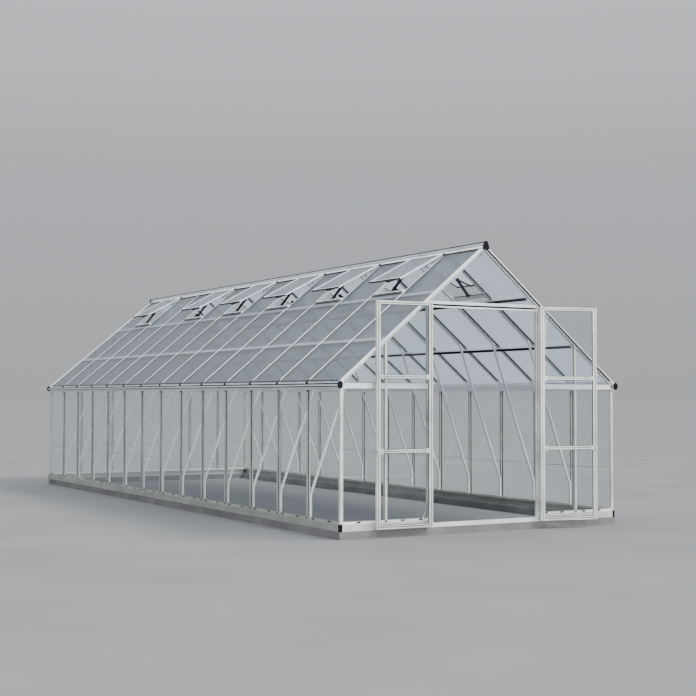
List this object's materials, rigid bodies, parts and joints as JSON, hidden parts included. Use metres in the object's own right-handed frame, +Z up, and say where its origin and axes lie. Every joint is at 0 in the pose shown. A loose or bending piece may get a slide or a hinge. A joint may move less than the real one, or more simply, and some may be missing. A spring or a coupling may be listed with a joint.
{
  "type": "long walk-in glasshouse",
  "caption": "Long aluminium glasshouse with clear walls, milky roof sheets, propped ridge vents, bent braces and tall paired doors folded open, on a galvanised base and concrete kerb.",
  "frame": {"origin": "middle of the footprint, door leaves included, on the kerb's underside", "axes": "+X across the house to the right seen from the door end, +Y from the door end to the far end, +Z up"},
  "size_m": [3.166, 8.8034, 2.709],
  "materials": {
    "concrete": "cast, matt",
    "galvanised_steel": "galvanised, satin",
    "black_plastic": "moulded, matt",
    "aluminium": "extruded, satin",
    "clear_sheet": "clear, polished",
    "clear_strip": "clear extruded plastic",
    "milky_sheet": "milky twin-wall, satin"
  },
  "bodies": {
    "greenhouse": {"plinth_sides": "concrete", "plinth_ends": "concrete", "side_base_rails": "galvanised_steel", "gable_base_rails": "galvanised_steel", "base_corner_connectors": "black_plastic", "door_threshold": "aluminium", "side_wall_sills": "aluminium", "gable_sills": "aluminium", "corner_posts": "aluminium", "right_wall_studs": "aluminium", "left_wall_studs": "aluminium", "right_wall_sheets": "clear_sheet", "left_wall_sheets": "clear_sheet", "wall_joint_strips": "clear_strip", "eave_gutters": "aluminium", "gutter_end_caps": "black_plastic", "rafter_foot_clips": "black_plastic", "ridge_beam": "aluminium", "ridge_end_caps": "black_plastic", "ridge_trim": "black_plastic", "right_rafters": "aluminium", "left_rafters": "aluminium", "gable_rafters": "aluminium", "upper_purlins": "aluminium", "lower_purlins": "aluminium", "right_braces": "aluminium", "left_braces": "aluminium", "right_roof_sheets": "milky_sheet", "left_roof_sheets": "milky_sheet", "vent_sills": "aluminium", "right_vent_sashes": "aluminium", "left_vent_sashes": "aluminium", "right_vent_sheets": "milky_sheet", "left_vent_sheets": "milky_sheet", "vent_openers": "black_plastic", "gable_beams": "aluminium", "gable_studs": "aluminium", "door_posts": "aluminium", "gable_headers": "aluminium", "front_gable_sheets": "clear_sheet", "back_gable_sheets": "clear_sheet", "gable_joint_strips": "clear_strip", "post_hinges": "aluminium", "door_post_brackets": "aluminium"},
    "left_door": {"left_door_frame": "aluminium", "left_door_sheets": "clear_sheet", "left_door_hinges": "aluminium", "left_door_latch": "aluminium"},
    "right_door": {"right_door_frame": "aluminium", "right_door_sheets": "clear_sheet", "right_door_hinges": "aluminium", "right_door_latch": "aluminium"}
  },
  "joints": [
    {"name": "left_door_hinge", "type": "hinge", "parent": "greenhouse", "child": "left_door", "pos_m": [-0.606, -4.23333, 1.1], "axis": [0, 0, 1], "range_deg": [0, 180]},
    {"name": "right_door_hinge", "type": "hinge", "parent": "greenhouse", "child": "right_door", "pos_m": [0.606, -4.23333, 1.1], "axis": [0, 0, -1], "range_deg": [-12, 168]}
  ]
}
